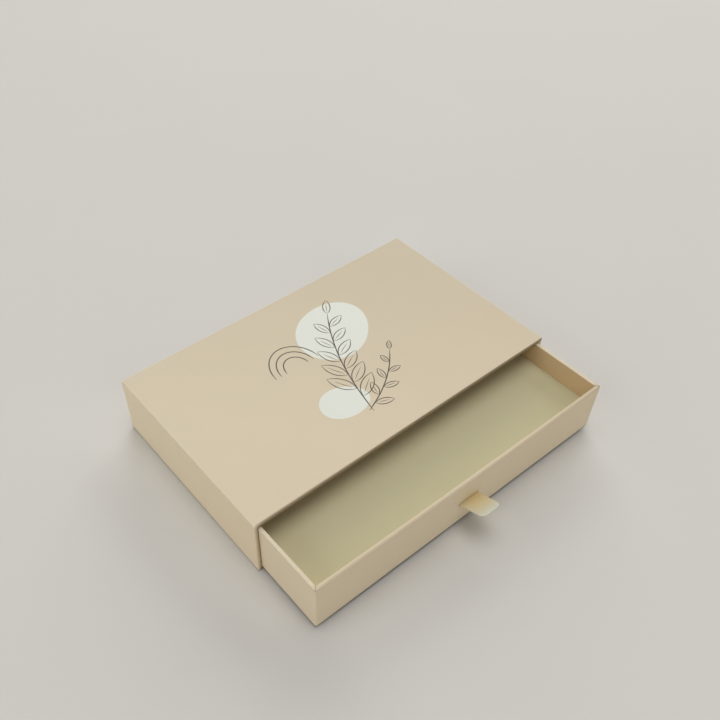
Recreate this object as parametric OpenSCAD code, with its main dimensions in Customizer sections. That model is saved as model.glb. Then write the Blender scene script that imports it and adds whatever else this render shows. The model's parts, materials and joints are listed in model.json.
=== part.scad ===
// Rigid gift box: a drawer with a raised floor slides in a paper-covered sleeve.
// Millimetres. The origin is the centre of the sleeve's underside, +Z is up and the mouth faces -Y.

/* [Sleeve] */
// Outside width, from side to side
sleeve_w = 250; // [180:1:320]
// Outside depth, from mouth to back
sleeve_d = 151; // [120:1:220]
// Outside height
sleeve_h = 46.5; // [44:0.1:80]
// Outer radius of the four long edges
sleeve_edge_r = 0.8; // [0.6:0.1:2]
// Depth of the covering paper turned in at the mouth
mouth_turn_in = 18; // [8:1:30]

/* [Drawer] */
// How far the drawer stands out of the mouth
pull_out = 53; // [0:1:110]
// Gap at each side of the drawer
side_gap = 0.25; // [0.2:0.05:0.8]
// Gap under the drawer
under_gap = 0.1; // [0.1:0.05:0.6]
// Gap over the drawer's rim
rim_gap = 1.2; // [0.5:0.05:3]
// Gap behind the closed drawer
back_gap = 0.25; // [0.2:0.05:2]
// Outer radius of the upright corners
drawer_corner_r = 1; // [0.8:0.1:2]

/* [Platform] */
// Depth of the open space, from the rim to the platform
tray_depth = 17.3; // [8:0.1:20]
// Gap round the platform
platform_gap = 0.3; // [0.2:0.1:1]
// Thickness of the platform's board
deck_t = 1.5; // [1:0.1:2]
// Thickness of the sheet on the platform
cover_t = 0.3; // [0.2:0.1:0.6]
// Thickness of the strips under the platform
riser_t = 3; // [2:0.5:5]
// Distance from the drawer's walls to the strips next to them
riser_setback = 2; // [1.5:0.5:6]
// Number of strips between the side strips
cross_risers = 3; // [1:1:6]

/* [Board and paper] */
// Thickness of the greyboard
board_t = 2; // [1.5:0.1:2.5]
// Thickness of the covering paper
paper_t = 0.2; // [0.15:0.01:0.25]
// Thickness of the paper tape
tape_t = 0.15; // [0.1:0.01:0.2]
// Width of each leg of a folded tape
tape_leg = 12; // [8:1:14]
// Width of the covering paper folded on to an underside or the back
flap_w = 15; // [8:1:15]
// Distance from a glued sheet to the edges round it
sheet_inset = 2.5; // [1:0.5:5]

/* [Pull tab] */
// Width of the tab
tab_w = 16; // [10:0.5:30]
// Length outside the drawer
tab_l = 20.5; // [12:0.5:30]
// Thickness of the tab's two plies
tab_t = 0.8; // [0.5:0.1:1]
// Radius of the corners at the tip
tab_tip_r = 4; // [2:0.5:4.5]
// Angle above level at which the tab stands out
tab_tilt = 21; // [0:1:40]
// Distance from the platform's board down to the middle of the slit
slit_drop = 1.45; // [1.1:0.05:4]
// Height of the slit
slit_h = 1.4; // [1.2:0.1:2]
// Distance from the tail's end down to the drawer's floor
tail_rise = 3; // [2.5:0.1:4]
// Width of the patch over the tail
patch_w = 26; // [20:1:40]

/* [Hidden] */
$fn = 48;
over = 1; // how far a cutting shape runs past what it cuts

// A wall from its outer face inwards: covering paper, tape, board, inner paper
skin_in = paper_t;
board_out = skin_in + tape_t;
board_in = board_out + board_t;
wall_t = board_in + paper_t;

// The sleeve's wrapped tube stands on its base sheet and ends at its back sheet
half_w = sleeve_w / 2;
mouth_y = -sleeve_d / 2;
tube_back_y = sleeve_d / 2 - paper_t;
boards_front_y = mouth_y + paper_t;
boards_back_y = tube_back_y - board_out;
back_board_y = boards_back_y - board_t;
turned_y = mouth_y + mouth_turn_in;
tube_z = paper_t;
floor_board_z = tube_z + board_out;
lid_board_z = sleeve_h - board_in;

// The drawer fills the sleeve's bore, less the gaps round it
drawer_w = sleeve_w - 2 * wall_t - 2 * side_gap;
drawer_d = back_board_y - paper_t - back_gap - mouth_y;
drawer_front_y = mouth_y - pull_out;
drawer_mid_y = drawer_front_y + drawer_d / 2;
drawer_z = tube_z + wall_t + under_gap;
rim_z = sleeve_h - wall_t - rim_gap;
wrap_z = drawer_z + paper_t;
base_board_z = wrap_z + paper_t;
walls_z = base_board_z + board_t;
drawer_floor_z = walls_z + paper_t;
walls_top_z = rim_z - paper_t;

// The platform stands on its risers inside the drawer
platform_z = rim_z - tray_depth;
deck_z = platform_z - cover_t - deck_t;
platform_w = drawer_w - 2 * wall_t - 2 * platform_gap;
platform_d = drawer_d - 2 * wall_t - 2 * platform_gap;
riser_half_w = drawer_w / 2 - wall_t - riser_setback;
riser_half_d = drawer_d / 2 - wall_t - riser_setback;
riser_h = deck_z - drawer_floor_z;
riser_end_gap = 0.25;

// The tab bends about a line just in front of the slit
tab_z = deck_z - slit_drop;
tab_root_gap = 0.1;
tab_bend_y = drawer_front_y - tab_t / 2 - tab_root_gap;
slit_w = tab_w + 1;
inner_face_y = drawer_front_y + wall_t;
tail_end_z = drawer_floor_z + tail_rise;
patch_margin_h = 2;

paper_beige = "#d8caae";
lining_beige = "#c9ba9c";
board_grey = "#b3a48c";
tape_brown = "#b98d5e";
khaki = "#b4b08c";
cream = "#e6dcbc";

// Rectangle about the origin, with round corners where r is above 0
module rounded_rect(w, h, r) {
    if (r > 0) {
        square([w - 2 * r, h], center = true);
        square([w, h - 2 * r], center = true);
        for (x = [-1, 1], y = [-1, 1])
            translate([x * (w / 2 - r), y * (h / 2 - r)]) circle(r);
    } else {
        square([w, h], center = true);
    }
}

// Box from its lowest corner to its highest
module span(low, high) {
    translate(low) cube(high - low);
}

// The sleeve's outer shape, drawn in by inset, from y0 to y1
module tube(inset, y0, y1) {
    h = sleeve_h - tube_z;
    translate([0, y1, tube_z + h / 2]) rotate([90, 0, 0]) linear_extrude(y1 - y0)
        rounded_rect(sleeve_w - 2 * inset, h - 2 * inset, sleeve_edge_r - inset);
}

module tube_ring(outer_inset, inner_inset, y0, y1) {
    difference() {
        tube(outer_inset, y0, y1);
        tube(inner_inset, y0 - over, y1 + over);
    }
}

// The drawer's outer shape, drawn in by inset, from z0 to z1
module tray(inset, z0, z1) {
    translate([0, drawer_mid_y, z0]) linear_extrude(z1 - z0)
        rounded_rect(drawer_w - 2 * inset, drawer_d - 2 * inset, drawer_corner_r - inset);
}

module tray_ring(outer_inset, inner_inset, z0, z1) {
    difference() {
        tray(outer_inset, z0, z1);
        tray(inner_inset, z0 - over, z1 + over);
    }
}

// One of the sleeve's four long boards: the part of the board block between two corners
module sleeve_board(low_x, low_z, high_x, high_z) {
    color(board_grey) intersection() {
        tube(board_out, boards_front_y, boards_back_y);
        span([low_x, boards_front_y - over, low_z], [high_x, boards_back_y + over, high_z]);
    }
}

module sleeve_top_board() {
    sleeve_board(-half_w, lid_board_z, half_w, sleeve_h);
}

module sleeve_bottom_board() {
    sleeve_board(-half_w, 0, half_w, floor_board_z + board_t);
}

module sleeve_left_board() {
    sleeve_board(-half_w, floor_board_z + board_t, -half_w + board_in, lid_board_z);
}

module sleeve_right_board() {
    sleeve_board(half_w - board_in, floor_board_z + board_t, half_w, lid_board_z);
}

module sleeve_back_board() {
    x = half_w - board_in;
    color(board_grey)
        span([-x, back_board_y, floor_board_z + board_t], [x, boards_back_y, lid_board_z]);
}

module sleeve_edge_tapes() {
    leg = board_out + tape_leg;
    color(tape_brown) for (x = [-1, 1], z = [tube_z, sleeve_h - leg]) intersection() {
        tube_ring(skin_in, board_out, boards_front_y, boards_back_y);
        span([x * (half_w - leg / 2) - leg / 2, boards_front_y, z],
             [x * (half_w - leg / 2) + leg / 2, boards_back_y, z + leg]);
    }
}

// Tape folded round a straight back edge: a leg on the outer face and a leg on the back
module back_tape(length) {
    translate([-length / 2, -tape_leg, 0]) cube([length, tape_leg + tape_t, tape_t]);
    translate([-length / 2, 0, -tape_leg]) cube([length, tape_t, tape_leg + tape_t]);
}

module sleeve_back_tapes() {
    across = sleeve_w - 2 * (board_out + tape_leg + sheet_inset);
    upright = sleeve_h - tube_z - 2 * (board_out + tape_leg + sheet_inset);
    mid_z = (sleeve_h + tube_z) / 2;
    color(tape_brown) {
        translate([0, boards_back_y, sleeve_h - board_out]) back_tape(across);
        translate([0, boards_back_y, floor_board_z]) mirror([0, 0, 1]) back_tape(across);
        for (side = [-1, 1])
            translate([side * (half_w - board_out), boards_back_y, mid_z])
                rotate([0, side * 90, 0]) back_tape(upright);
    }
}

// One sheet: round the four long sides, over the mouth's edges and in, and on to the back
module sleeve_wrap() {
    color(paper_beige) {
        tube_ring(0, skin_in, mouth_y, tube_back_y);
        tube_ring(0, wall_t, mouth_y, boards_front_y);
        tube_ring(board_in, wall_t, mouth_y, turned_y);
        tube_ring(0, flap_w, tube_back_y - paper_t, tube_back_y);
    }
}

// Paper on the bore's four sides and back, from the turned-in wrap onwards
module sleeve_lining() {
    color(lining_beige) difference() {
        tube(board_in, turned_y, back_board_y);
        tube(wall_t, turned_y - over, back_board_y - paper_t);
    }
}

module sleeve_base_sheet() {
    x = half_w - sheet_inset;
    color(paper_beige)
        span([-x, mouth_y + sheet_inset, 0], [x, sleeve_d / 2 - sheet_inset, paper_t]);
}

module sleeve_back_sheet() {
    x = half_w - sheet_inset;
    color(paper_beige) span([-x, tube_back_y, tube_z + sheet_inset],
                            [x, sleeve_d / 2, sleeve_h - sheet_inset]);
}

module drawer_base_board() {
    color(board_grey) tray(board_out, base_board_z, walls_z);
}

module slit() {
    span([-slit_w / 2, drawer_front_y - over, tab_z - slit_h / 2],
         [slit_w / 2, inner_face_y + over, tab_z + slit_h / 2]);
}

// The board along the front or the back, of the drawer's full width
module long_wall(y0) {
    intersection() {
        tray(board_out, walls_z, walls_top_z);
        span([-drawer_w / 2, y0, walls_z], [drawer_w / 2, y0 + board_t, walls_top_z]);
    }
}

module drawer_front_board() {
    color(board_grey) difference() {
        long_wall(drawer_front_y + board_out);
        slit();
    }
}

module drawer_back_board() {
    color(board_grey) long_wall(drawer_front_y + drawer_d - board_in);
}

// A side board, between the front and back boards
module side_wall(x0) {
    color(board_grey) span([x0, drawer_front_y + board_in, walls_z],
                           [x0 + board_t, drawer_front_y + drawer_d - board_in, walls_top_z]);
}

module drawer_left_board() {
    side_wall(-drawer_w / 2 + board_out);
}

module drawer_right_board() {
    side_wall(drawer_w / 2 - board_in);
}

module drawer_corner_tapes() {
    leg = board_out + tape_leg;
    color(tape_brown) for (x = [-1, 1], y = [-1, 1]) intersection() {
        tray_ring(skin_in, board_out, base_board_z, walls_top_z);
        translate([x * (drawer_w / 2 - leg / 2), drawer_mid_y + y * (drawer_d / 2 - leg / 2), 0])
            linear_extrude(rim_z) square(leg, center = true);
    }
}

// One sheet: up the outside, over the rim, down the inside, and folded under
module drawer_wrap() {
    color(paper_beige) difference() {
        union() {
            tray_ring(0, skin_in, wrap_z, rim_z);
            tray_ring(0, wall_t, walls_top_z, rim_z);
            tray_ring(board_in, wall_t, drawer_floor_z, rim_z);
            tray_ring(0, flap_w, wrap_z, base_board_z);
        }
        slit();
    }
}

module drawer_base_sheet() {
    color(lining_beige) tray(sheet_inset, drawer_z, wrap_z);
}

module drawer_floor_sheet() {
    color(lining_beige) tray(board_in, walls_z, drawer_floor_z);
}

// Strips along the front and back, and separate strips from front to back between them
module platform_risers() {
    pitch = (2 * riser_half_w - riser_t) / (cross_risers + 1);
    inner_d = 2 * (riser_half_d - riser_t - riser_end_gap);
    color(board_grey) translate([0, drawer_mid_y, drawer_floor_z]) {
        for (y = [-1, 1])
            translate([-riser_half_w, y * (riser_half_d - riser_t / 2) - riser_t / 2, 0])
                cube([2 * riser_half_w, riser_t, riser_h]);
        for (i = [0 : cross_risers + 1])
            translate([-riser_half_w + i * pitch, -inner_d / 2, 0])
                cube([riser_t, inner_d, riser_h]);
    }
}

module platform_deck() {
    color(board_grey) translate([0, drawer_mid_y, deck_z]) linear_extrude(deck_t)
        square([platform_w, platform_d], center = true);
}

module platform_cover() {
    color(khaki) translate([0, drawer_mid_y, platform_z - cover_t]) linear_extrude(cover_t)
        square([platform_w, platform_d], center = true);
}

// Strip through the slit, bent down on the inner face of the front wall
module pull_tab_tail() {
    color(cream) {
        span([-tab_w / 2, drawer_front_y, tab_z - tab_t / 2],
             [tab_w / 2, inner_face_y + tab_t, tab_z + tab_t / 2]);
        span([-tab_w / 2, inner_face_y, tail_end_z],
             [tab_w / 2, inner_face_y + tab_t, tab_z]);
    }
}

// Paper glued over the tail and on to the wall at each side of it
module pull_tab_patch() {
    top_z = tab_z - tab_t / 2;
    low_z = tail_end_z - patch_margin_h;
    color(paper_beige) difference() {
        union() {
            span([-patch_w / 2, inner_face_y, low_z],
                 [patch_w / 2, inner_face_y + paper_t, top_z]);
            span([-tab_w / 2 - paper_t, inner_face_y, tail_end_z - paper_t],
                 [tab_w / 2 + paper_t, inner_face_y + tab_t + paper_t, top_z]);
        }
        span([-tab_w / 2, inner_face_y - over, tail_end_z],
             [tab_w / 2, inner_face_y + tab_t, top_z + over]);
    }
}

// Side view of the tab: a flat strip with a round root at the origin
module tab_side() {
    circle(tab_t / 2);
    translate([-tab_l, -tab_t / 2]) square([tab_l, tab_t]);
}

// Top view of the tab: round corners at the tip
module tab_outline() {
    translate([-tab_w / 2, -tab_l + tab_tip_r]) square([tab_w, tab_l - tab_tip_r + tab_t]);
    translate([-tab_w / 2 + tab_tip_r, -tab_l]) square([tab_w - 2 * tab_tip_r, tab_l]);
    for (side = [-1, 1])
        translate([side * (tab_w / 2 - tab_tip_r), -tab_l + tab_tip_r]) circle(tab_tip_r);
}

module pull_tab() {
    color(cream) translate([0, tab_bend_y, tab_z]) rotate([-tab_tilt, 0, 0]) intersection() {
        rotate([90, 0, 90]) linear_extrude(tab_w, center = true) tab_side();
        linear_extrude(2 * tab_t, center = true) tab_outline();
    }
}

sleeve_top_board();
sleeve_bottom_board();
sleeve_left_board();
sleeve_right_board();
sleeve_back_board();
sleeve_edge_tapes();
sleeve_back_tapes();
sleeve_wrap();
sleeve_lining();
sleeve_base_sheet();
sleeve_back_sheet();
drawer_base_board();
drawer_front_board();
drawer_back_board();
drawer_left_board();
drawer_right_board();
drawer_corner_tapes();
drawer_wrap();
drawer_base_sheet();
drawer_floor_sheet();
platform_risers();
platform_deck();
platform_cover();
pull_tab_tail();
pull_tab_patch();
pull_tab();
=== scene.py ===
"""Looks of the sliding drawer gift box: folded covering paper, printed lid, khaki sheet and cream pull tab.

Lengths are in millimetres up to to_mesh(), which writes metres. The frame's origin is the centre of the
sleeve's underside, the mouth faces -Y and +Z is up.
"""
import json
import math

import bmesh
import bpy
import numpy as np
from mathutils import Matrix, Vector


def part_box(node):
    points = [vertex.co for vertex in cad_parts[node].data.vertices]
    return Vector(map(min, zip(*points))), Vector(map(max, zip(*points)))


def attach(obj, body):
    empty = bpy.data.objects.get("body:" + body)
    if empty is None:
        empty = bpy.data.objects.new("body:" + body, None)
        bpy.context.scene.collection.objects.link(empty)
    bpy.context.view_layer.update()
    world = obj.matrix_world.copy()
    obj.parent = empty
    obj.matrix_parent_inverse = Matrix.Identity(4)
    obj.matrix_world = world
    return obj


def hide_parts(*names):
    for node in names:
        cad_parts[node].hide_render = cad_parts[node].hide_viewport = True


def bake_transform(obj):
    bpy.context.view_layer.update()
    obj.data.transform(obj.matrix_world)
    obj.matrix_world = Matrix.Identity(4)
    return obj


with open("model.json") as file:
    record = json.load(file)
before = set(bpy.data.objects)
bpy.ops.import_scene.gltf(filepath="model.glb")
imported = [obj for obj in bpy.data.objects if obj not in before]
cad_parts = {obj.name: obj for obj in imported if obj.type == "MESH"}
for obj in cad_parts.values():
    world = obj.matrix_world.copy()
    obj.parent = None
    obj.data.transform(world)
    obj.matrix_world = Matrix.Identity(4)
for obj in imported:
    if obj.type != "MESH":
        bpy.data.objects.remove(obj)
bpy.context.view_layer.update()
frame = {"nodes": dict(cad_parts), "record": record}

MM = 0.001


# ---------------------------------------------------------------- sizes, from the frame
def node_box(node):
    """Lowest and highest corner of a CAD node, in millimetres."""
    low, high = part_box(node)
    return np.array(low) / MM, np.array(high) / MM


SLEEVE_LOW, SLEEVE_HIGH = node_box("sleeve_wrap")
DRAWER_LOW, DRAWER_HIGH = node_box("drawer_wrap")
PLATFORM_LOW, PLATFORM_HIGH = node_box("platform_cover")
FRONT_BOARD_LOW, FRONT_BOARD_HIGH = node_box("drawer_front_board")
TAB_LOW, TAB_HIGH = node_box("pull_tab")
TAIL_LOW, TAIL_HIGH = node_box("pull_tab_tail")

MOUTH_Y = SLEEVE_LOW[1]
SLEEVE_BACK_Y = SLEEVE_HIGH[1]
TURNED_Y = node_box("sleeve_lining")[0][1]  # where the paper that is turned in at the mouth ends
LID_Z = SLEEVE_HIGH[2]
DRAWER_FRONT_Y = DRAWER_LOW[1]
DRAWER_FLOOR_Z = node_box("drawer_floor_sheet")[1][2]
TAPE_FOOT_Z = node_box("drawer_corner_tapes")[0][2]
RIM_Z = DRAWER_HIGH[2]

# a covered wall, from its outer face inwards
PAPER = 0.2
BOARD_OUT = FRONT_BOARD_LOW[1] - DRAWER_LOW[1]  # to the board's outer face
WALL = BOARD_OUT + (FRONT_BOARD_HIGH[1] - FRONT_BOARD_LOW[1]) + PAPER  # to the wall's inner face
BOARD_IN = WALL - PAPER  # to the board's inner face
FLAP = 15.0  # width of the paper that is turned over the last edge
FOLD_RADIUS = 0.5
SLEEVE_EDGE_RADIUS = 0.8
DRAWER_CORNER_RADIUS = 1.0
INNER_RADIUS = 0.2  # least corner radius of an inner loop

# the pull tab and its slit
TAB_WIDTH = TAB_HIGH[0] - TAB_LOW[0]
TAB_THICK = 0.8
TAB_TIP_RADIUS = 4.0
TAB_TILT = math.radians(21)
TAB_Z = TAIL_HIGH[2] - TAB_THICK / 2
SLIT_MARGIN = 0.5
SLIT_HEIGHT = 1.4


# ---------------------------------------------------------------- meshes
def to_mesh(name, points, faces, sharp_angle=35):
    """A smooth object from points in millimetres, sharp where faces meet at more than sharp_angle degrees."""
    mesh = bpy.data.meshes.new(name)
    mesh.from_pydata([tuple(float(c) * MM for c in p) for p in points], [], faces)
    mesh.validate()
    outward = bmesh.new()
    outward.from_mesh(mesh)
    bmesh.ops.recalc_face_normals(outward, faces=outward.faces)
    outward.to_mesh(mesh)
    outward.free()
    mesh.polygons.foreach_set("use_smooth", [True] * len(mesh.polygons))
    mesh.set_sharp_from_angle(angle=math.radians(sharp_angle))
    obj = bpy.data.objects.new(name, mesh)
    bpy.context.scene.collection.objects.link(obj)
    return obj


def tube_faces(rows, columns, first=0, joined=False):
    """Quads between rows of points from index first on, each row a closed loop. Where joined, the last row
    meets the first one again."""
    faces = []
    for row in range(rows if joined else rows - 1):
        here, there = first + row * columns, first + (row + 1) % rows * columns
        for column in range(columns):
            after = (column + 1) % columns
            faces.append((here + column, there + column, there + after, here + after))
    return faces


def end_faces(total, columns):
    """The two faces that close a tube of total points, at its first and its last row."""
    return [tuple(reversed(range(columns))), tuple(range(total - columns, total))]


def arc(centre, radius, start, end, steps):
    """Points on an arc, angles in degrees, both ends included."""
    angles = np.radians(np.linspace(start, end, steps + 1))
    return [(centre[0] + radius * math.cos(a), centre[1] + radius * math.sin(a)) for a in angles]


NEAR_END = (0.35, 0.9, 2.0)  # distances from a fold at which a straight run has extra points


def stations(length, steps):
    """Distances along a straight run: a few close to each end, where a fold is, and even steps between."""
    middle = np.linspace(NEAR_END[-1], length - NEAR_END[-1], steps + 1)[1:-1]
    return [*NEAR_END, *middle, *(length - d for d in reversed(NEAR_END))]


QUARTERS = ((1, 1), (-1, 1), (-1, -1), (1, -1))  # signs of a rectangle's corners, in turn


def corner_arcs(half_w, half_h, radius, steps):
    """Arcs at the four corners of a rectangle, in turn."""
    return [
        arc((x * (half_w - radius), y * (half_h - radius)), radius, 90 * k, 90 * (k + 1), steps)
        for k, (x, y) in enumerate(QUARTERS)
    ]


def rounded_loop(half_w, half_h, radius, steps_w, steps_h):
    """Closed loop round a rectangle with round corners, the same number of points for any size."""
    arcs = corner_arcs(half_w, half_h, radius, 4)
    loop = []
    for k in range(4):
        loop += arcs[k]
        start, end = np.array(arcs[k][-1]), np.array(arcs[(k + 1) % 4][0])
        length = float(np.linalg.norm(end - start))
        steps = steps_w if k % 2 == 0 else steps_h
        loop += [tuple(start + (end - start) * d / length) for d in stations(length, steps)]
    return loop


WAVE_LENGTHS = (95.0, 61.0, 37.0, 23.0)
WAVE_HEIGHT = 0.022  # of the longest wave; the others are lower in the measure that they are shorter


def paper_wave(x, y, seed):
    """Slight unevenness of glued paper: a few long waves whose directions and phases depend on seed."""
    draw = np.random.default_rng(seed)
    height = 0.0
    for length in WAVE_LENGTHS:
        angle, phase = draw.uniform(0, 2 * math.pi, 2)
        along = x * math.cos(angle) + y * math.sin(angle)
        height += length / WAVE_LENGTHS[0] * math.sin(2 * math.pi * along / length + phase)
    return WAVE_HEIGHT * height


def ramp(value, start, end):
    """0 at start, 1 at end, straight between them."""
    return min(max((value - start) / (end - start), 0.0), 1.0)


def between(ends, share):
    """The value that lies that share of the way from the first end to the second."""
    return ends[0] + (ends[1] - ends[0]) * share


def paint(obj, **rules):
    """Stores each rule(x, y, z), in millimetres, at each point of the mesh, for the materials to read."""
    for name, rule in rules.items():
        attribute = obj.data.attributes.new(name, "FLOAT", "POINT")
        for value, vertex in zip(attribute.data, obj.data.vertices):
            value.value = float(rule(*(c / MM for c in vertex.co)))


def cut_box(obj, low, high):
    """Cuts a box, in millimetres, out of the mesh."""
    (x0, y0, z0), (x1, y1, z1) = low, high
    corners = [(x, y, z) for z in (z0, z1) for y in (y0, y1) for x in (x0, x1)]
    faces = [(0, 2, 3, 1), (4, 5, 7, 6), (0, 1, 5, 4), (2, 6, 7, 3), (0, 4, 6, 2), (1, 3, 7, 5)]
    cutter = to_mesh("cutter", corners, faces)
    modifier = obj.modifiers.new("cut", "BOOLEAN")
    modifier.operation = "DIFFERENCE"
    modifier.solver = "EXACT"
    modifier.object = cutter
    cut = bpy.data.meshes.new_from_object(obj.evaluated_get(bpy.context.evaluated_depsgraph_get()))
    obj.modifiers.clear()
    obj.data = cut
    bpy.data.objects.remove(cutter)


# ---------------------------------------------------------------- colours
def linear(red, green, blue):
    """A display colour, 0 to 255, as the linear colour that the shaders take."""
    def one(c):
        c /= 255
        return c / 12.92 if c <= 0.04045 else ((c + 0.055) / 1.055) ** 2.4
    return one(red), one(green), one(blue)


def scaled(colour, factor):
    """A darker or lighter shade of the colour."""
    return tuple(c * factor for c in colour)


BEIGE = linear(221, 207, 180)
# a lighter copy of the paper, for painted light
BEIGE_PALE = linear(241, 225, 194)
BEIGE_WORN = linear(230, 218, 193)
TAN = linear(217, 189, 145)
# brown for painted shade, and for the dark seams across the drawer's rim corners
SOILED = linear(122, 100, 72)
LINING_BEIGE = linear(190, 162, 115)
KHAKI = linear(201, 194, 158)
# a lighter copy of the khaki, for painted light
KHAKI_PALE = linear(210, 202, 165)
CREAM = linear(210, 210, 192)
# the tab's painted warm reflection near the wall
CREAM_WARM = linear(223, 201, 147)
GREYBOARD = linear(172, 160, 140)
KRAFT = linear(182, 142, 98)
PRINT_PALE = linear(228, 229, 217)
PRINT_DARK = linear(84, 74, 64)
GROUND = linear(213, 210, 204)


# ---------------------------------------------------------------- materials
class Look:
    """One material, with short helpers for its node tree."""

    def __init__(self, name):
        self.material = bpy.data.materials.new(name)
        self.material.use_nodes = True
        self.tree = self.material.node_tree
        self.shader = self.tree.nodes["Principled BSDF"]
        self.place = self.tree.nodes.new("ShaderNodeTexCoord").outputs["Object"]

    def node(self, kind, **settings):
        made = self.tree.nodes.new(kind)
        for key, value in settings.items():
            setattr(made, key, value)
        return made

    def link(self, source, target):
        self.tree.links.new(source, target)

    def set(self, **inputs):
        """Sets or links inputs of the shader, named with _ for each space."""
        for name, value in inputs.items():
            socket = self.shader.inputs[name.replace("_", " ")]
            if isinstance(value, (int, float, tuple)):
                socket.default_value = value
            else:
                self.link(value, socket)

    def noise(self, size, detail, roughness=0.55, stretch=(1, 1, 1)):
        """Noise whose grains are about size millimetres across; stretch makes them longer along an axis."""
        mapping = self.node("ShaderNodeMapping")
        mapping.inputs["Scale"].default_value = [1 / (size * MM * s) for s in stretch]
        self.link(self.place, mapping.inputs["Vector"])
        noise = self.node("ShaderNodeTexNoise")
        noise.inputs["Scale"].default_value = 1.0
        noise.inputs["Detail"].default_value = detail
        noise.inputs["Roughness"].default_value = roughness
        self.link(mapping.outputs["Vector"], noise.inputs["Vector"])
        return noise.outputs["Fac"]

    def remap(self, value, low, high, to_low=0.0, to_high=1.0):
        node = self.node("ShaderNodeMapRange")
        numbers = {"From Min": low, "From Max": high, "To Min": to_low, "To Max": to_high}
        for socket, number in numbers.items():
            node.inputs[socket].default_value = number
        self.link(value, node.inputs["Value"])
        return node.outputs["Result"]

    def attribute(self, name):
        """What paint() stored under that name, or 0 on a mesh without it."""
        return self.node("ShaderNodeAttribute", attribute_name=name).outputs["Fac"]

    def multiply(self, *values):
        """Product of two values, each a socket or a number."""
        node = self.node("ShaderNodeMath", operation="MULTIPLY")
        for socket, value in zip(node.inputs, values):
            if isinstance(value, float):
                socket.default_value = value
            else:
                self.link(value, socket)
        return node.outputs["Value"]

    def mix(self, factor, *colours):
        """Mix of two colours, each a socket or an (r, g, b)."""
        node = self.node("ShaderNodeMix", data_type="RGBA")
        self.link(factor, node.inputs["Factor"])
        colour_a, colour_b, mixed = node.inputs[6], node.inputs[7], node.outputs[2]
        for socket, colour in zip((colour_a, colour_b), colours):
            if isinstance(colour, tuple):
                socket.default_value = (*colour, 1)
            else:
                self.link(colour, socket)
        return mixed

    def shades(self, factor, colour, low, high):
        """Mix of a darker and a lighter shade of one colour."""
        return self.mix(factor, scaled(colour, low), scaled(colour, high))

    def bump(self, *heights):
        """Bumps of (height socket, depth in millimetres), one over the other."""
        normal = None
        for height, depth in heights:
            node = self.node("ShaderNodeBump")
            node.inputs["Strength"].default_value = 1.0
            node.inputs["Distance"].default_value = depth * MM
            self.link(height, node.inputs["Height"])
            if normal is not None:
                self.link(normal, node.inputs["Normal"])
            normal = node.outputs["Normal"]
        self.set(Normal=normal)


def paper_material(name, colour, pale=None, worn=None, tan=None, grain=1.0):
    """Matte covering paper: cloudy tone and fine fibres. It is lighter where paint() stored painted light,
    rubbed where
    'fold' is, deeper and warmer where it stored the paper's own tan tone and painted shade, and brown where
    it stored painted shade and dark seams. A colour that is left out is the paper's own."""
    pale, worn, tan = (tone or colour for tone in (pale, worn, tan))
    look = Look(name)
    cloud = look.remap(look.noise(34, 2), 0.3, 0.7)
    fibre = look.remap(look.noise(0.55, 4, 0.7), 0.25, 0.75)
    plain, lighter = (
        look.mix(fibre, scaled(tone, 0.965), look.shades(cloud, tone, 0.985, 1.015))
        for tone in (colour, pale))
    flecked = look.mix(look.attribute("pale"), plain, lighter)
    rub = look.remap(look.noise(2.4, 3), 0.35, 0.7, 0.2, 1.0)
    rubbed = look.mix(look.multiply(look.attribute("fold"), look.multiply(rub, 0.5)), flecked, worn)
    toned = look.mix(look.attribute("tan"), rubbed, look.shades(fibre, tan, 0.95, 1.02))
    look.set(
        Base_Color=look.mix(look.attribute("soil"), toned, SOILED),
        Roughness=look.remap(fibre, 0, 1, 0.68, 0.82),
        Specular_IOR_Level=0.35)
    look.bump((look.noise(5.5, 2), 0.03 * grain), (look.noise(0.7, 3, 0.6), 0.018 * grain))
    return look.material


def board_material():
    """Recycled greyboard: speckled pulp with long fibres."""
    look = Look("greyboard")
    speckle = look.remap(look.noise(0.8, 4, 0.75), 0.3, 0.7)
    fibres = look.remap(look.noise(0.4, 3, 0.6, stretch=(6, 1, 1)), 0.35, 0.75)
    pulp = look.shades(speckle, GREYBOARD, 0.82, 1.08)
    look.set(Base_Color=look.mix(fibres, pulp, scaled(GREYBOARD, 1.15)), Roughness=0.92)
    look.bump((speckle, 0.03), (fibres, 0.02))
    return look.material


def tape_material():
    """Brown paper tape with lengthwise fibres."""
    look = Look("paper_tape")
    streak = look.remap(look.noise(0.5, 4, 0.65, stretch=(8, 1, 1)), 0.3, 0.7)
    look.set(Base_Color=look.shades(streak, KRAFT, 0.88, 1.1), Roughness=look.remap(streak, 0, 1, 0.6, 0.75))
    look.bump((streak, 0.012))
    return look.material


def khaki_material():
    """The platform's sheet: soft matte khaki with a short felt-like nap, paler where paint() stored painted
    light.
    """
    look = Look("khaki_sheet")
    cloud = look.remap(look.noise(22, 3), 0.3, 0.7)
    nap = look.remap(look.noise(0.45, 5, 0.75), 0.25, 0.75)
    deep, dark, light = (
        look.mix(look.attribute("pale"), scaled(KHAKI, tone), scaled(KHAKI_PALE, tone))
        for tone in (0.93, 0.975, 1.02))
    look.set(
        Base_Color=look.mix(nap, deep, look.mix(cloud, dark, light)),
        Roughness=0.9,
        Specular_IOR_Level=0.2,
        Sheen_Weight=0.06)
    look.bump((look.noise(3.2, 2), 0.03), (nap, 0.03))
    return look.material


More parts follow.
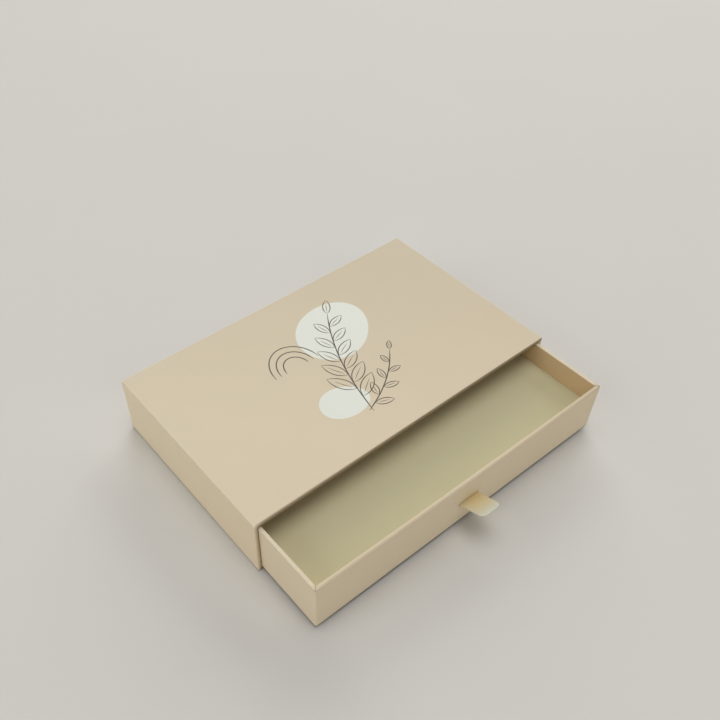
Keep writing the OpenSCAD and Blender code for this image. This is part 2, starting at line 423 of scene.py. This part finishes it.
def tab_material():
    """The pull tab: a cream strip, warmer and deeper where paint() stored a painted warm reflection, with a
    fine grain along it.
    """
    look = Look("tab_strip")
    grain = look.remap(look.noise(0.28, 3, 0.6, stretch=(1, 7, 1)), 0.3, 0.7)
    toned = look.mix(look.attribute("warm"), CREAM, CREAM_WARM)
    deeper = look.mix(look.attribute("warm"), scaled(CREAM, 0.95), scaled(CREAM_WARM, 0.94))
    look.set(
        Base_Color=look.mix(grain, deeper, toned),
        Roughness=look.remap(grain, 0, 1, 0.5, 0.62),
        Subsurface_Weight=0.25,
        Subsurface_Radius=(1.0, 0.75, 0.4),
        Subsurface_Scale=0.5 * MM)
    look.bump((grain, 0.012))
    return look.material


def ink_material(name, colour, roughness):
    """Ink on the paper: the paper's fibres show through it a little."""
    look = Look(name)
    fibre = look.remap(look.noise(0.55, 4, 0.7), 0.25, 0.75)
    look.set(
        Base_Color=look.shades(fibre, colour, 0.97, 1.02),
        Roughness=look.remap(fibre, 0, 1, roughness, roughness + 0.1),
        Specular_IOR_Level=0.35)
    look.bump((fibre, 0.01))
    return look.material


def ground_material():
    """A pale seamless surface with a barely cloudy tone."""
    look = Look("ground")
    cloud = look.remap(look.noise(160, 2), 0.3, 0.7)
    look.set(Base_Color=look.shades(cloud, GROUND, 0.995, 1.005), Roughness=0.95, Specular_IOR_Level=0.1)
    return look.material


SLOTS = {
    "covering_paper": paper_material("covering_paper", BEIGE, BEIGE_PALE, BEIGE_WORN, TAN),
    "lining_paper": paper_material("lining_paper", LINING_BEIGE, grain=0.8),
    "greyboard": board_material(),
    "paper_tape": tape_material(),
    "khaki_sheet": khaki_material(),
    "tab_strip": tab_material(),
}


def finish_piece(obj, body, slot, *nodes, material=None):
    """Gives a finished piece its slot's material or the one given, and its body, or None where it bends
    between two bodies, and puts it in the place of the CAD nodes."""
    obj.data.materials.append(material or SLOTS[slot])
    if body:
        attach(obj, body)
    if nodes:
        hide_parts(*nodes)


# ---------------------------------------------------------------- the sleeve's covering paper
SLEEVE_STEPS = (84, 12)  # along the width and the height
MOUTH_SKEW = 0.6  # how far the left end of the mouth's fold stands out
SKEW_START_X = 40.0  # the fold is straight to the right of this
SKEW_DEPTH = 14.0  # length behind the mouth over which the skew fades out
LID_SEED = 3
LID_EDGE = 6.0  # width along the lid's edges over which its waves fade out

# painted shade on the paper, 0 to 1; the rules that use them hold the distances over which they start and end
MOUTH_TAN = 0.08  # painted shade: deeper tone of the outer faces at the mouth, which fades out towards the middle
LID_STRIP_SOIL = 0.62  # painted shade on the fold over the mouth: along the lid,
LEFT_STRIP_SOIL = (0.05, 0.55)  # on the left wall, from the outer side to the inner side,
RIGHT_STRIP_SOIL = 0.1  # and on the right wall
LID_SOIL = (0.015, 0.17)  # painted shade on the lid, darker from the front left to the back right
LID_SOIL_REACH = (-90, 150)  # x + y at which those two are reached


def sleeve_path():
    """The sleeve sheet's closed outline as (inset, y): outer face, fold over the mouth, turned-in ply and
    flap, and back."""
    start, end, r = MOUTH_Y, SLEEVE_BACK_Y, FOLD_RADIUS
    low, high = start + r, end - r
    path = [(0.0, high)] + [(0.0, high - d) for d in stations(high - low, 52)] + [(0.0, low)]
    path += arc((r, low), r, 180, 270, 5)[1:]
    path += arc((WALL - r, low), r, 270, 360, 5)
    path += [(WALL, low + d) for d in stations(TURNED_Y - low, 5)] + [(WALL, TURNED_Y)]
    path += [(BOARD_IN, y) for y in np.linspace(TURNED_Y, start + PAPER, 8)]
    path += [(PAPER, y) for y in np.linspace(start + PAPER, end - PAPER, 12)]
    path += [(FLAP / 2, end - PAPER), (FLAP, end - PAPER), (FLAP, end), (FLAP / 2, end)]
    path += arc((r, high), r, 90, 180, 5)[:-1]
    return path


def lid_wave(x, y):
    """How far the paper on the lid's outer face stands off its plane."""
    edge = min(SLEEVE_HIGH[0] - abs(x), y - MOUTH_Y, SLEEVE_BACK_Y - y)
    return paper_wave(x, y, LID_SEED) * ramp(edge, 0, LID_EDGE)


def mouth_shift(x, y):
    """How far the fold over the mouth stands forward: more and more towards its left end."""
    across = ramp(SKEW_START_X - x, 0, SKEW_START_X + SLEEVE_HIGH[0])
    return MOUTH_SKEW * across * ramp(MOUTH_Y + SKEW_DEPTH - y, 0, SKEW_DEPTH)


def sleeve_wrap_paper():
    """The sleeve's sheet with its rounded edges, fold over the mouth, turned-in ply and flap at the back."""
    half_w = (SLEEVE_HIGH[0] - SLEEVE_LOW[0]) / 2
    half_h = (SLEEVE_HIGH[2] - SLEEVE_LOW[2]) / 2
    mid_z = (SLEEVE_HIGH[2] + SLEEVE_LOW[2]) / 2
    path = sleeve_path()
    points = []
    for inset, y in path:
        radius = max(SLEEVE_EDGE_RADIUS - inset, INNER_RADIUS)
        for x, z in rounded_loop(half_w - inset, half_h - inset, radius, *SLEEVE_STEPS):
            on_lid = inset < PAPER and z > half_h - 0.01
            lift = lid_wave(x, y) if on_lid else 0.0
            points.append((x, y - mouth_shift(x, y), mid_z + z + lift))

    # painted light: the left wall's outer face is made lighter
    def pale(x, y, z):
        left = ramp(-x, half_w - WALL - 0.1, half_w - WALL)
        return left * ramp(LID_Z - z, 0.2, SLEEVE_EDGE_RADIUS)

    def fold(x, y, z):
        from_edge = max(half_w - abs(x), half_h - abs(z - mid_z))
        return 1 - ramp(from_edge, SLEEVE_EDGE_RADIUS, SLEEVE_EDGE_RADIUS + 0.4)

    # painted shade on the outer faces towards the mouth, and the turned-in ply's own tan tone
    def tan(x, y, z):
        outer = MOUTH_TAN * ramp(-y, 0, -MOUTH_Y)
        inset = min(half_w - abs(x), half_h - abs(z - mid_z))
        return max(outer, ramp(inset, WALL - 0.2, WALL - 0.05))

    # painted shade: on the fold over the mouth, on the lid, and a painted contact shadow along the foot
    def soil(x, y, z):
        strip = 1 - ramp(y - MOUTH_Y, 0.2, 0.6)
        if z > LID_Z - WALL:
            strip *= LID_STRIP_SOIL * ramp(half_w + x, 0.5, WALL + 1)
        elif x < 0:
            strip *= between(LEFT_STRIP_SOIL, ramp(half_w + x, 0.5, WALL - 0.4))
        else:
            strip *= RIGHT_STRIP_SOIL
        # painted shade on the lid, darker towards its back right
        lid = between(LID_SOIL, ramp(x + y, *LID_SOIL_REACH)) if z > LID_Z - 0.1 else 0.0
        # painted contact shadow along the foot
        foot = 1 - ramp(z - SLEEVE_LOW[2], 0.3, 0.9)
        return max(strip, lid, foot)

    rows = len(path)
    obj = to_mesh("sleeve_wrap_paper", points, tube_faces(rows, len(points) // rows, joined=True))
    paint(obj, pale=pale, fold=fold, tan=tan, soil=soil)
    finish_piece(obj, "sleeve", "covering_paper", "sleeve_wrap")


# ---------------------------------------------------------------- the drawer's covering paper
DRAWER_STEPS = (84, 50)  # along the width and the depth
FRONT_BULGE = 0.63  # how far the front wall's rim bulges out at its middle
RIM_SKEW = 1.25  # how far the rim's right end stands out, against nothing at its left end
FOOT_SKEW = 0.35  # the same at the wall's foot
SKEW_REACH = 60.0  # length of the side walls over which that fades out
SOFT_RIM = 1.2  # outer radius of the rim along the front wall
SOFT_RIM_ENDS = (1.5, 7)  # distances from the side walls between which that radius grows
MITRE_DEPTH = 0.25  # depth of the seams across the rim's corners

# tones of the paper, 0 to 1: painted light, painted shade, and the paper's own tones and seams
LEFT_PALE = 0.85  # painted light on the left wall, against 1 on the front wall
BASE_TAN = 0.05  # deeper tone all over,
SLIT_TAN = 0.2  # painted shade and warm reflected colour round the slit
FRONT_RIM_TAN = 0.2  # and painted shade on the front wall's rim
SEAM_SOIL = 0.8  # soil in the seams,
UPRIGHT_SOIL = (0.35, 0.7)  # painted shade on the right wall's upright edges, from the foot to the rim,
FRONT_RIM_SOIL = (0.04, 0.16)  # and painted shade on the front wall's rim, from the middle to the right end


def front_shift(x, y, z):
    """How far a point of the drawer stands forward of a plain box, because the front wall is pressed out."""
    across = x / DRAWER_HIGH[0]
    skew = (1 + across) / 2
    height = ramp(z, DRAWER_LOW[2], RIM_Z)
    rim = RIM_SKEW * skew + FRONT_BULGE * (1 - across ** 2)
    near = ramp(DRAWER_FRONT_Y + SKEW_REACH - y, 0, SKEW_REACH)
    return (FOOT_SKEW * skew * (1 - height) + rim * height ** 1.2) * near


def tray_path(rim_radius):
    """The drawer sheet's closed outline as (inset, z): up the outside, over the rim, down the inside, and
    back. It has as many points for any outer radius of the rim."""
    low, rim, r = DRAWER_LOW[2], RIM_Z, FOLD_RADIUS
    turn = rim - rim_radius
    path = [(0.0, low + r)] + [(0.0, low + r + d) for d in stations(turn - low - r, 18)] + [(0.0, turn)]
    path += arc((rim_radius, turn), rim_radius, 180, 90, 6)[1:]
    path += arc((WALL - r, rim - r), r, 90, 0, 5)
    path += [(WALL, rim - r - d) for d in stations(rim - r - DRAWER_FLOOR_Z, 16)] + [(WALL, DRAWER_FLOOR_Z)]
    path += [(BOARD_IN, z) for z in np.linspace(DRAWER_FLOOR_Z, rim - PAPER, 10)]
    path += arc((rim_radius, turn), rim_radius - PAPER, 90, 180, 3)
    path += [(PAPER, z) for z in np.linspace(turn, low + PAPER, 10)[1:]]
    path += [(FLAP / 2, low + PAPER), (FLAP, low + PAPER), (FLAP, low), (FLAP / 2, low)]
    path += arc((r, low + r), r, 270, 180, 5)[:-1]
    return path


def cut_slit(obj):
    """Cuts the pull tab's slit through the front wall."""
    half_w = TAB_WIDTH / 2 + SLIT_MARGIN
    low = (-half_w, DRAWER_FRONT_Y - 2, TAB_Z - SLIT_HEIGHT / 2)
    high = (half_w, DRAWER_FRONT_Y + WALL + 2, TAB_Z + SLIT_HEIGHT / 2)
    cut_box(obj, low, high)


def drawer_wrap_paper():
    """The drawer's sheet with its rounded rim, mitred corners, inner ply and flap underneath."""
    half_w = (DRAWER_HIGH[0] - DRAWER_LOW[0]) / 2
    half_d = (DRAWER_HIGH[1] - DRAWER_LOW[1]) / 2
    mid_y = (DRAWER_HIGH[1] + DRAWER_LOW[1]) / 2

    def on_mitre(x, y):
        """1 on the seams, which run from the corners inwards at 45 degrees."""
        return 1 - ramp(abs((half_w - abs(x)) - (half_d - abs(y - mid_y))), 0.05, 0.4)

    def on_front_rim(y, z):
        return ramp(z, RIM_Z - SOFT_RIM, RIM_Z - SOFT_RIM + 0.5) * ramp(DRAWER_FRONT_Y + 4 - y, 0, 1)

    path = tray_path(FOLD_RADIUS)
    points = []
    for (inset, z), (soft_inset, soft_z) in zip(path, tray_path(SOFT_RIM)):
        radius = max(DRAWER_CORNER_RADIUS - inset, INNER_RADIUS)
        for x, y in rounded_loop(half_w - inset, half_d - inset, radius, *DRAWER_STEPS):
            on_front = y < -half_d + WALL + 0.01 and inset <= WALL
            soft = ramp(half_w - abs(x), *SOFT_RIM_ENDS) if on_front else 0.0
            y, height = mid_y + y + soft * (soft_inset - inset), z + soft * (soft_z - z)
            if height > RIM_Z - 0.35:
                height -= MITRE_DEPTH * on_mitre(x, y)
            points.append((x, y - front_shift(x, y, height), height))

    # painted light on the outer faces of the front wall and the left wall
    def pale(x, y, z):
        front = ramp(DRAWER_FRONT_Y + 1 - y - front_shift(x, y, z), 0, 0.5)
        left = LEFT_PALE * ramp(-x, half_w - 1, half_w - 0.5)
        return max(front, left) * ramp(RIM_Z - z, 0.3, 1.0)

    def fold(x, y, z):
        return (1 - ramp(RIM_Z - z, 0.1, 0.6)) * ramp(y, DRAWER_FRONT_Y + 1, DRAWER_FRONT_Y + 5)

    # the inner ply's own tan tone and a deeper tone all over, with painted shade round the slit and on the
    # front rim
    def tan(x, y, z):
        inset = min(half_w - abs(x), half_d - abs(y + front_shift(x, y, z) - mid_y))
        inner = ramp(inset, WALL - 0.4, WALL - 0.15) * ramp(RIM_Z - z, 0.2, 0.7)
        # painted shade and warm reflected colour from the tab, on the front wall round the slit
        near_slit = ramp(TAB_WIDTH / 2 + 3 - abs(x), 0, 6) * (1 - ramp(abs(z - TAB_Z - 2), 0, 6))
        stain = SLIT_TAN * near_slit if y < DRAWER_FRONT_Y else 0.0
        return max(inner, stain, BASE_TAN, FRONT_RIM_TAN * on_front_rim(y, z))

    # dark seams across the rim's corners, and painted shade on the right wall's upright edges, on the front
    # rim and along the foot
    def soil(x, y, z):
        y += front_shift(x, y, z)
        seam = SEAM_SOIL * on_mitre(x, y) * ramp(z, RIM_Z - 0.7, RIM_Z - 0.4)
        from_edge = max(half_w - x, half_d - abs(y - mid_y))
        # painted shade on the right wall's rounded upright edges, stronger towards the rim
        upright = between(UPRIGHT_SOIL, ramp(z, RIM_Z - 2.5, RIM_Z - 1.5)) * (1 - ramp(from_edge, 0.8, 1.3))
        # painted shade on the front rim, growing towards its right end
        rim = between(FRONT_RIM_SOIL, ramp(x, 70, 115)) * on_front_rim(y, z)
        # painted contact shadow along the foot, narrower on the side walls
        side = ramp(half_d - abs(y - mid_y), 0.3, 1.0)
        foot = 1 - ramp(z - DRAWER_LOW[2], 0.35 - 0.1 * side, 1.0 - 0.3 * side)
        return max(seam, upright, rim, foot)

    rows = len(path)
    obj = to_mesh("drawer_wrap_paper", points, tube_faces(rows, len(points) // rows, joined=True))
    cut_slit(obj)
    paint(obj, pale=pale, fold=fold, tan=tan, soil=soil)
    finish_piece(obj, "drawer", "covering_paper", "drawer_wrap")


# ---------------------------------------------------------------- the drawer's corner tapes and front board
TAPE_LEG = 12.0  # how far the tape reaches along each wall from the corner
TAPE_GAP = 0.01


def corner_tapes():
    """Tape round the drawer's four upright corners, under its paper and up to the soft rim."""
    half_w = DRAWER_HIGH[0]
    half_d = (DRAWER_HIGH[1] - DRAWER_LOW[1]) / 2
    mid_y = (DRAWER_HIGH[1] + DRAWER_LOW[1]) / 2
    r = DRAWER_CORNER_RADIUS
    runs = []
    for inset in (PAPER + TAPE_GAP, BOARD_OUT - TAPE_GAP):
        end_x, end_y = half_w - inset, half_d - inset
        bend = arc((half_w - r, half_d - r), r - inset, 0, 90, 4)
        runs.append([(end_x, end_y - TAPE_LEG), *bend, (end_x - TAPE_LEG, end_y)])
    loop = runs[0] + runs[1][::-1]
    count, heights = len(loop), np.linspace(TAPE_FOOT_Z, RIM_Z - SOFT_RIM - 0.1, 12)
    points, faces = [], []
    for side_x, side_y in QUARTERS:
        first = len(points)
        for z in heights:
            for u, v in loop:
                x, y = side_x * u, mid_y + side_y * v
                points.append((x, y - front_shift(x, y, z), z))
        faces += tube_faces(len(heights), count, first)
        for end in (first, len(points) - count):
            faces += [(end + j, end + j + 1, end + count - 2 - j, end + count - 1 - j)
                      for j in range(count // 2 - 1)]
    finish_piece(to_mesh("corner_tapes", points, faces), "drawer", "paper_tape", "drawer_corner_tapes")


def front_board():
    """The front wall's board, pressed out with its paper, round under the soft rim and cut for the tab."""
    low, high = FRONT_BOARD_LOW, FRONT_BOARD_HIGH
    r = SOFT_RIM - BOARD_OUT
    loop = [(low[1], z) for z in np.linspace(low[2], high[2] - r, 12)]
    loop += arc((low[1] + r, high[2] - r), r, 180, 90, 3)[1:]
    loop += [(high[1], z) for z in np.linspace(high[2], low[2], 13)]
    sections = np.linspace(low[0], high[0], 49)
    points = [(x, y - front_shift(x, y, z), z) for x in sections for y, z in loop]
    faces = tube_faces(len(sections), len(loop)) + end_faces(len(points), len(loop))
    obj = to_mesh("front_board_bowed", points, faces)
    cut_slit(obj)
    finish_piece(obj, "drawer", "greyboard", "drawer_front_board")


# ---------------------------------------------------------------- the platform's sheet
SHEET_STEPS = (60, 36)  # along the width and the depth
SHEET_CORNER_RADIUS = 0.3
SHEET_CLEARANCE = 0.05
SHEET_SEED = 11
PALE_REACH = (-98, -82)  # y at which the light painted on the sheet, against the lid's shade, starts and is full
RIGHT_PALE_LOSS = 0.3  # how much less of it there is at the right end


def platform_sheet():
    """Khaki sheet on the platform's board, reaching the walls all round and following the bowed front."""
    half_w = DRAWER_HIGH[0] - WALL - SHEET_CLEARANCE
    half_d = (DRAWER_HIGH[1] - DRAWER_LOW[1]) / 2 - WALL - SHEET_CLEARANCE
    mid_y = (PLATFORM_HIGH[1] + PLATFORM_LOW[1]) / 2
    top, under = PLATFORM_HIGH[2], PLATFORM_LOW[2]
    r = (top - under) / 3
    path = arc((r, under + r), r, 270, 180, 3) + arc((r, top - r), r, 180, 90, 3)
    path += [(inset, top) for inset in (2.0, 6.0, *np.linspace(12, half_d - 3, 22))]
    points = []
    for inset, z in path:
        for x, y in rounded_loop(half_w - inset, half_d - inset, SHEET_CORNER_RADIUS, *SHEET_STEPS):
            y += mid_y
            wave = paper_wave(x, y, SHEET_SEED) * ramp(inset, 0.5, 8)
            points.append((x, y - front_shift(x, y, z), z + wave))

    # painted light, lighter towards the back where the lid shades the sheet, less at the right end
    def pale(x, y, z):
        return ramp(y, *PALE_REACH) * (1 - RIGHT_PALE_LOSS * ramp(x, -100, 100))

    columns = len(points) // len(path)
    faces = tube_faces(len(path), columns) + end_faces(len(points), columns)
    obj = to_mesh("platform_sheet", points, faces)
    paint(obj, pale=pale)
    finish_piece(obj, "drawer", "khaki_sheet", "platform_cover")


# ---------------------------------------------------------------- the pull tab
TAIL_BEND_RADIUS = 0.6  # where the tail turns from the wall's inner face into the slit
TAB_BEND_RADIUS = 3.0  # where the tab turns up outside the slit
TAB_EDGE_RADIUS = 0.25
TAB_NOSE = 0.3  # length at the tip over which the strip thins out
NOSE_LEAST = 0.06  # what is left there of the square of its thickness
WARM_LENGTH = 19.0  # length out of the wall over which the painted warm reflection fades out
WARM_LEFT_LOSS = 0.35  # how much less warm it is at its left edge


def tab_centre_line():
    """Side view of the strip's middle as (y, z): up the wall's inner face, out through the slit, and up."""
    inner_y = TAIL_HIGH[1] - TAB_THICK / 2
    r = TAIL_BEND_RADIUS
    line = [(inner_y, z) for z in np.linspace(TAIL_LOW[2], TAB_Z - r, 7)]
    line += arc((inner_y - r, TAB_Z - r), r, 0, 90, 6)[1:]
    bend_y = DRAWER_FRONT_Y - 0.3
    line += [(y, TAB_Z) for y in np.linspace(inner_y - r, bend_y, 6)[1:]]
    r = TAB_BEND_RADIUS
    line += arc((bend_y, TAB_Z + r), r, 270, 270 - math.degrees(TAB_TILT), 6)[1:]
    start_y, start_z = line[-1]
    tip_y = TAB_LOW[1] + TAB_THICK / 2 * math.sin(TAB_TILT)
    length = (start_y - tip_y) / math.cos(TAB_TILT)
    reaches = [*np.linspace(0, length - TAB_TIP_RADIUS, 9)[1:]]
    round_end = np.radians(np.linspace(0, 90, 11)[1:])
    reaches += [length - TAB_TIP_RADIUS * (1 - math.sin(a)) for a in round_end]
    line += [(start_y - d * math.cos(TAB_TILT), start_z + d * math.sin(TAB_TILT)) for d in reaches]
    return line


def strip_section(half_w, half_h, radius):
    """Cross-section of the strip: even steps across it between four round corners."""
    loop = []
    for k, corner in enumerate(corner_arcs(half_w, half_h, radius, 3)):
        loop += corner
        if k % 2 == 0:
            end = (half_w - radius) * (1 if k == 0 else -1)
            loop += [(x, corner[-1][1]) for x in np.linspace(end, -end, 10)[1:-1]]
    return loop


def pull_tab_strip():
    """The tab and its tail as one strip, which bends at the slit."""
    line = [np.array(p) for p in tab_centre_line()]
    along = np.cumsum([0.0] + [float(np.linalg.norm(b - a)) for a, b in zip(line, line[1:])])
    points = []
    for k, here in enumerate(line):
        before, after = line[max(k - 1, 0)], line[min(k + 1, len(line) - 1)]
        tangent = (after - before) / np.linalg.norm(after - before)
        normal = np.array((tangent[1], -tangent[0]))
        left = along[-1] - along[k]
        into_tip = max(TAB_TIP_RADIUS - left, 0.0)
        half_w = TAB_WIDTH / 2 - TAB_TIP_RADIUS + math.sqrt(max(TAB_TIP_RADIUS ** 2 - into_tip ** 2, 0.0))
        into_nose = ramp(TAB_NOSE - left, 0, TAB_NOSE)
        half_h = TAB_THICK / 2 * math.sqrt(max(1 - into_nose ** 2, NOSE_LEAST))
        for u, v in strip_section(half_w, half_h, min(TAB_EDGE_RADIUS, half_h * 0.9)):
            y, z = here + normal * v
            points.append((u, y, z))

    # painted warm reflection, strongest by the wall and weaker at the left edge
    def warm(x, y, z):
        outward = 1 - ramp(DRAWER_FRONT_Y - y, 0.0, WARM_LENGTH) ** 2
        return outward * (1 - WARM_LEFT_LOSS * ramp(-x, 0.0, TAB_WIDTH / 2))

    columns = len(points) // len(line)
    faces = tube_faces(len(line), columns) + end_faces(len(points), columns)
    obj = to_mesh("pull_tab_strip", points, faces, sharp_angle=50)
    paint(obj, warm=warm)
    finish_piece(obj, None, "tab_strip", "pull_tab", "pull_tab_tail")
    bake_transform(obj)


# ---------------------------------------------------------------- the print on the lid
INK_RISE = 0.03
LINE_WIDTH = 0.8
TAPER_POINTS = 4  # points over which a line grows to its full width
ARC_CENTRE = (-26, 10)
ARC_RADII = (9.0, 13.5, 18.0)
ARC_STRETCH = 1.25


class Ink:
    """Points and faces of one colour of the print, which lies on the lid's waves."""

    def __init__(self):
        self.points = []
        self.faces = []

    def point(self, x, y, rise):
        self.points.append((x, y, LID_Z + lid_wave(x, y) + rise))

    def stroke(self, line, width):
        """Adds a thin closed ribbon along a line, tapered at both ends."""
        first, last = len(self.points), len(line) - 1
        for k, here in enumerate(line):
            before, after = line[max(k - 1, 0)], line[min(k + 1, last)]
            along = (after - before) / np.linalg.norm(after - before)
            taper = ramp(min(k, last - k), 0, TAPER_POINTS)
            across = np.array((-along[1], along[0])) * width / 2 * between((0.35, 1), taper)
            for side, rise in ((1, -INK_RISE), (1, INK_RISE), (-1, INK_RISE), (-1, -INK_RISE)):
                self.point(*(here + across * side), rise)
        self.faces += tube_faces(len(line), 4, first)
        for end, turns in ((first, (0, 1, 2, 3)), (first + 4 * last, (3, 2, 1, 0))):
            self.faces.append(tuple(end + j for j in turns))

    def leaf(self, base, tip, width):
        """A pointed leaf from base to tip: two edges and a short vein."""
        along = tip - base
        side = np.array((-along[1], along[0])) / np.linalg.norm(along) * width
        for s in (1, -1):
            edge = bezier(base, base + along * 0.25 + side * s, base + along * 0.7 + side * s * 0.9, tip, 14)
            self.stroke(edge, LINE_WIDTH * 0.85)
        vein = bezier(base + along * 0.14, base + along * 0.3 + side * 0.06,
                      base + along * 0.5 + side * 0.04, base + along * 0.72, 8)
        self.stroke(vein, LINE_WIDTH * 0.6)

    def sprig(self, stem, leaves, size, turn):
        """A stem with leaves by turns at its two sides, which lean away from it by turn degrees, and one at
        its end. Size is the longest leaf's reach."""
        self.stroke(stem, LINE_WIDTH)
        for k in range(leaves):
            t = 0.16 + 0.8 * k / leaves
            i = int(t * (len(stem) - 1))
            along = stem[i + 1] - stem[i]
            heading = math.atan2(along[1], along[0]) + math.radians(turn) * (1 if k % 2 else -1)
            length = size * (1 - 0.45 * t)
            reach = np.array((math.cos(heading), math.sin(heading)))
            self.leaf(stem[i] + reach * 0.8, stem[i] + reach * length, length * 0.26)
        along = stem[-1] - stem[-2]
        along = along / np.linalg.norm(along)
        self.leaf(stem[-1] + along * 0.5, stem[-1] + along * size * 0.6, size * 0.15)

    def pebble(self, centre, radius, squash, turn, bumps, count=72, rings=10):
        """A filled, softly uneven oval, as a thin closed shape of two layers of rings and a middle point."""
        turn = math.radians(turn)
        outline = []
        for a in np.linspace(0, 2 * math.pi, count, endpoint=False):
            r = radius * (1 + bumps * math.sin(2 * a + 0.7) + bumps * 0.6 * math.cos(3 * a))
            u, v = r * math.cos(a), r * math.sin(a) * squash
            outline.append((u * math.cos(turn) - v * math.sin(turn), u * math.sin(turn) + v * math.cos(turn)))
        layer = rings * count + 1
        for rise in (INK_RISE / 2, -INK_RISE):
            first = len(self.points)
            for ring in range(rings):
                scale = 1 - ring / rings
                for u, v in outline:
                    self.point(centre[0] + u * scale, centre[1] + v * scale, rise)
            self.point(*centre, rise)
            self.faces += tube_faces(rings, count, first)
            inner, middle = first + layer - 1 - count, first + layer - 1
            self.faces += [(inner + j, inner + (j + 1) % count, middle) for j in range(count)]
        upper = first - layer
        for j in range(count):
            k = (j + 1) % count
            self.faces.append((upper + j, first + j, first + k, upper + k))


def bezier(a, b, c, d, steps):
    """Points on a cubic curve from a to d with handles b and c, both ends included."""
    t = np.linspace(0, 1, steps + 1)[:, None]
    a, b, c, d = (np.array(p, float) for p in (a, b, c, d))
    return (1 - t) ** 3 * a + 3 * (1 - t) ** 2 * t * b + 3 * (1 - t) * t ** 2 * c + t ** 3 * d


def print_shapes():
    """Two pale ovals."""
    ink = Ink()
    ink.pebble(centre=(16, 24), radius=30, squash=0.86, turn=25, bumps=0.03)
    ink.pebble(centre=(-22, -34), radius=17, squash=0.82, turn=-20, bumps=0.04)
    obj = to_mesh("lid_print_shapes", ink.points, ink.faces)
    pale_ink = ink_material("pale_ink", PRINT_PALE, roughness=0.6)
    finish_piece(obj, "sleeve", "covering_paper", material=pale_ink)


def print_lines():
    """Two leafy sprigs and three arcs, one in the other."""
    ink = Ink()
    ink.sprig(bezier((-12, -52), (-6, -20), (2, 8), (24, 40), 48), leaves=11, size=25, turn=42)
    ink.sprig(bezier((-14, -50), (2, -44), (20, -34), (34, -16), 36), leaves=6, size=15, turn=46)
    for radius in ARC_RADII:
        line = [np.array((x, ARC_CENTRE[1] + ARC_STRETCH * y))
                for x, y in arc((ARC_CENTRE[0], 0), radius, 180, 0, 39)]
        ink.stroke(line, LINE_WIDTH)
    obj = to_mesh("lid_print_lines", ink.points, ink.faces)
    dark_ink = ink_material("dark_ink", PRINT_DARK, roughness=0.5)
    finish_piece(obj, "sleeve", "covering_paper", material=dark_ink)


# ---------------------------------------------------------------- camera, light and ground
CAMERA_AZIMUTH = -39.46
CAMERA_ELEVATION = 46.208
CAMERA_DISTANCE = 0.63134
CAMERA_TARGET = Vector((0.011635, 0.019293, 0.0))
FOCAL_PIXELS = 849.06
PICTURE_PIXELS = 720
AXIS_PIXEL_X, AXIS_PIXEL_Y = 332.18, 382.21

LAMP_DISTANCE = 4.5
LAMPS = (  # name, azimuth and elevation in degrees, size in metres, watts
    ("key", 135, 25, 3.6, 125),
    ("left", 270, 25, 3.6, 60),
    ("front", 0, 25, 3.6, 43),
    ("right", 90, 25, 3.6, 40),
    ("back_left", 225, 25, 3.6, 27),
    ("top", 0, 90, 3.6, 65),
    ("top_small", 0, 90, 1.6, 18),
    ("front_top", 0, 75, 1.6, 16),
)
GROUND_HALF = 2500.0


def direction(azimuth, elevation):
    """Unit vector from the object, azimuth 0 towards -Y and 90 towards +X, in degrees."""
    a, e = math.radians(azimuth), math.radians(elevation)
    return Vector((math.sin(a) * math.cos(e), -math.cos(a) * math.cos(e), math.sin(e)))


def place(obj, target, offset):
    """Puts an object into the scene at an offset from the target, facing it."""
    bpy.context.scene.collection.objects.link(obj)
    obj.location = target + offset
    obj.rotation_euler = (target - obj.location).to_track_quat("-Z", "Y").to_euler()


def make_camera():
    """The photograph's camera, whose axis meets the picture a little off its middle."""
    data = bpy.data.cameras.new("camera")
    data.lens = FOCAL_PIXELS / PICTURE_PIXELS * data.sensor_width
    data.shift_x = 0.5 - AXIS_PIXEL_X / PICTURE_PIXELS
    data.shift_y = AXIS_PIXEL_Y / PICTURE_PIXELS - 0.5
    camera = bpy.data.objects.new("camera", data)
    place(camera, CAMERA_TARGET, direction(CAMERA_AZIMUTH, CAMERA_ELEVATION) * CAMERA_DISTANCE)
    bpy.context.scene.camera = camera


def soft_lamp(name, azimuth, elevation, size, watts):
    """A square soft box that faces the object."""
    data = bpy.data.lights.new(name, "AREA")
    data.size = size
    data.energy = watts
    place(bpy.data.objects.new(name, data), Vector(), direction(azimuth, elevation) * LAMP_DISTANCE)


def make_world():
    """A dark surround, so that the lamps are the only light."""
    world = bpy.data.worlds.new("studio")
    world.use_nodes = True
    world.node_tree.nodes["Background"].inputs["Strength"].default_value = 0.0
    bpy.context.scene.world = world


def make_ground():
    """The table that the box stands on."""
    points = [(x * GROUND_HALF, y * GROUND_HALF, 0) for x, y in QUARTERS]
    ground = to_mesh("ground", points, [(0, 1, 2, 3)])
    ground.data.materials.append(ground_material())


# ---------------------------------------------------------------- the scene
sleeve_wrap_paper()
drawer_wrap_paper()
corner_tapes()
front_board()
platform_sheet()
pull_tab_strip()
print_shapes()
print_lines()

for part in frame["record"]["subparts"]:
    node = frame["nodes"][part["node"]]
    node.data.materials.clear()
    node.data.materials.append(SLOTS[part["material_slot"]])

make_camera()
make_world()
for lamp in LAMPS:
    soft_lamp(*lamp)
make_ground()
bpy.context.scene.view_settings.view_transform = "Standard"
